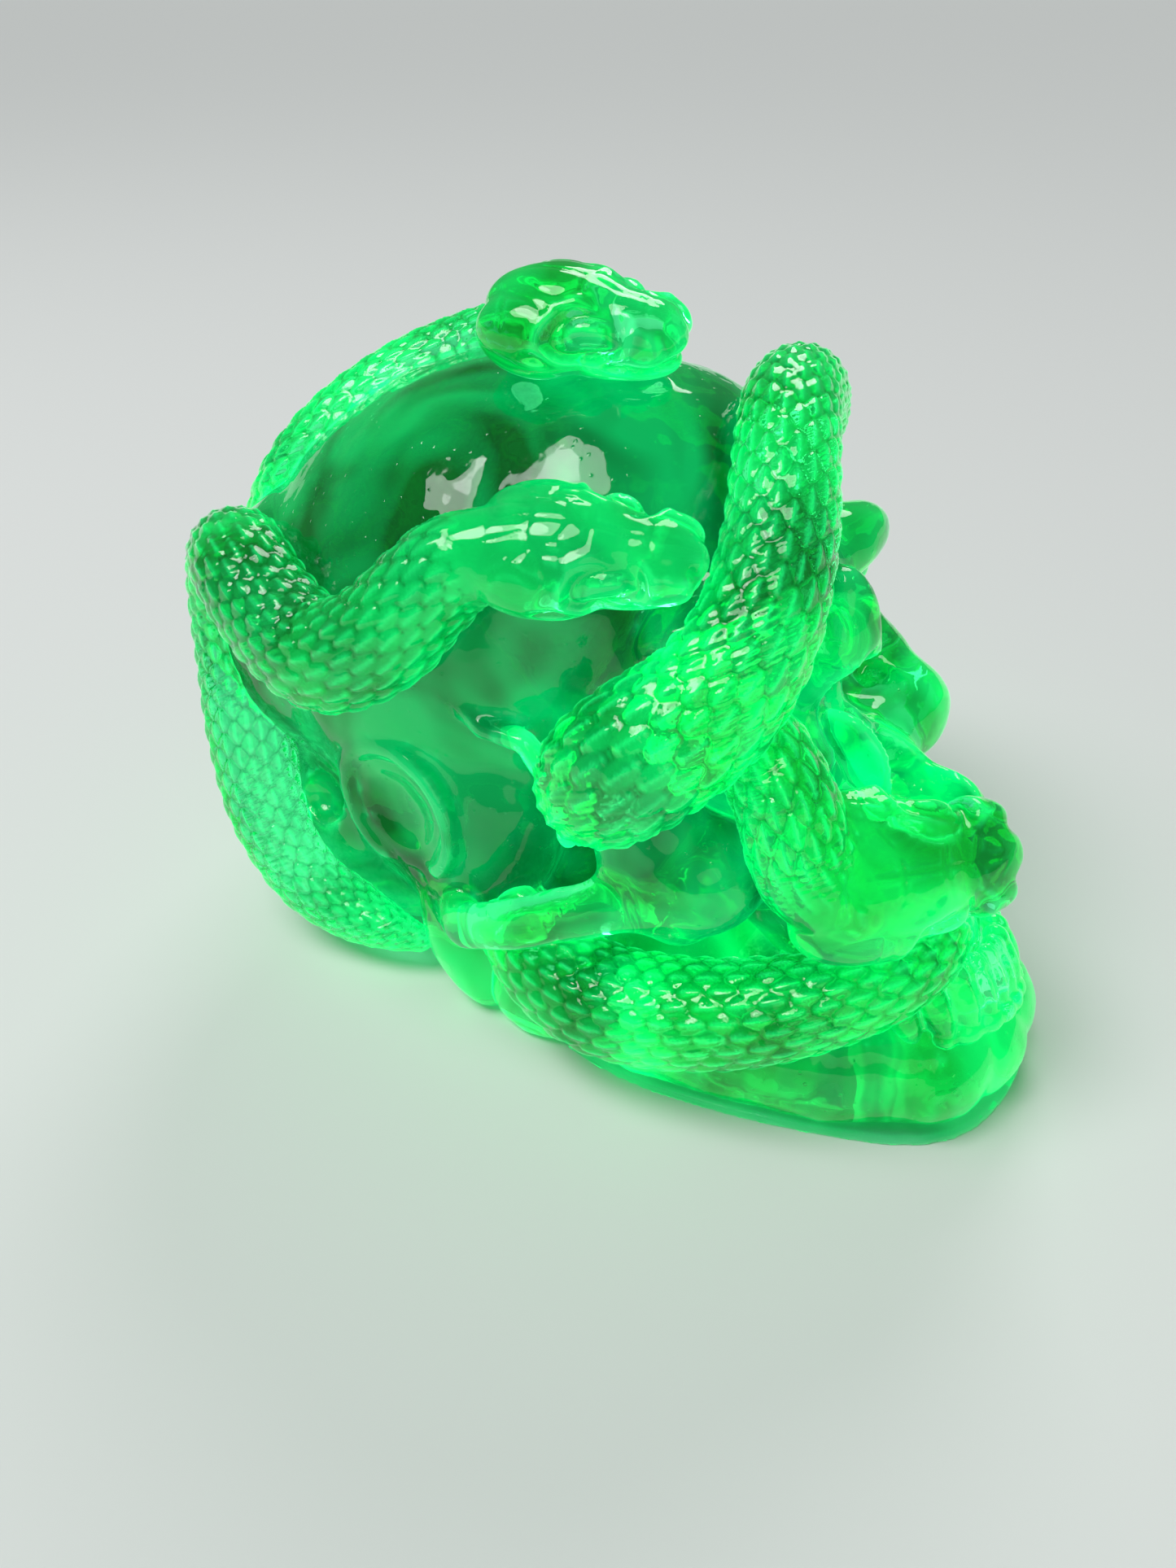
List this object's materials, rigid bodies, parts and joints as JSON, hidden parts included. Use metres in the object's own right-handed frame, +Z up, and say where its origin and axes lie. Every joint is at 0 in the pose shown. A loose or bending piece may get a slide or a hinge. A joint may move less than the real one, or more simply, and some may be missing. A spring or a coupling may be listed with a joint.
{
  "type": "glass skull ornament",
  "caption": "Solid cast glass skull lying on its jaw, wrapped by scaled snakes, with a thin flat foot flange under the chin; stands free on a flat surface.",
  "frame": {"origin": "centre of the bounding box's bottom face, on the surface that the skull rests on", "axes": "+Z up; the face looks along -Y and the back of the head is at +Y; the skull's right side, with the temple snake, is at -X"},
  "size_m": [0.0776, 0.1188, 0.0843],
  "materials": {
    "bone_glass": "clear fluorescent green cast glass, fire polished, with fine seeds and soft ripples",
    "thin_glass": "thin clear green glass with a bright rounded rim",
    "tooth_glass": "clear fluorescent green glass, fluted",
    "snake_glass": "clear fluorescent green glass with keeled scales and fine layer striations"
  },
  "bodies": {
    "root": {"cranium": "bone_glass", "mandible": "bone_glass", "foot_flange": "thin_glass", "upper_teeth": "tooth_glass", "lower_teeth": "tooth_glass", "crown_snake": "snake_glass", "temple_snake": "snake_glass", "brow_snake": "snake_glass", "socket_snake": "snake_glass", "jaw_snake": "snake_glass"}
  },
  "joints": []
}
